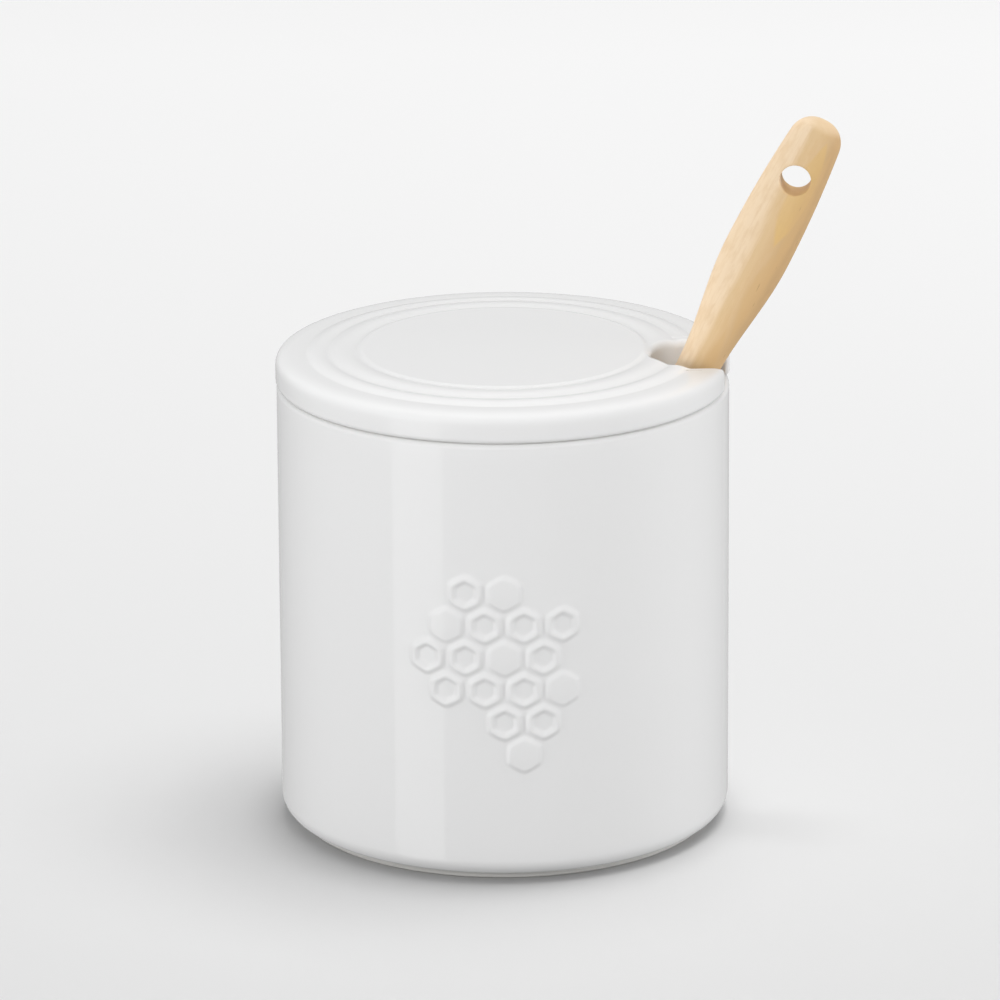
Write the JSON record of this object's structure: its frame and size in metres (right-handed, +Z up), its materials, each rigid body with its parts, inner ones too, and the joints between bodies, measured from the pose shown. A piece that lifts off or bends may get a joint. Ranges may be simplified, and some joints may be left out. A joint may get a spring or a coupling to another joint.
{
  "type": "honey pot",
  "caption": "Straight-sided glazed stoneware honey pot with a loose ringed lid, a notch at the lid's edge and a wooden dipper leaning out through it.",
  "frame": {"origin": "on the pot's axis, in the plane of the foot ring that it stands on", "axes": "+Z up along the pot's axis, -Y out of the pot's front with the relief, +X towards the side that the dipper leans to"},
  "size_m": [0.1241, 0.1008, 0.1615],
  "materials": {
    "pot_glaze": "white gloss glaze",
    "lid_glaze": "white gloss glaze",
    "handle_wood": "sanded pale hardwood, lightly oiled",
    "core_plastic": "satin moulded plastic",
    "head_silicone": "matt off-white silicone"
  },
  "bodies": {
    "pot": {"pot": "pot_glaze"},
    "lid": {"lid": "lid_glaze"},
    "dipper": {"dipper_handle": "handle_wood", "dipper_core": "core_plastic", "dipper_head": "head_silicone"}
  },
  "joints": [
    {"name": "lid_lift", "type": "slide", "parent": "pot", "child": "lid", "axis": [0, 0, 1], "range_m": [0, 0.115]},
    {"name": "dipper_lift", "type": "slide", "parent": "pot", "child": "dipper", "axis": [0.4375, -0.046, 0.898], "range_m": [0, 0.044]}
  ]
}
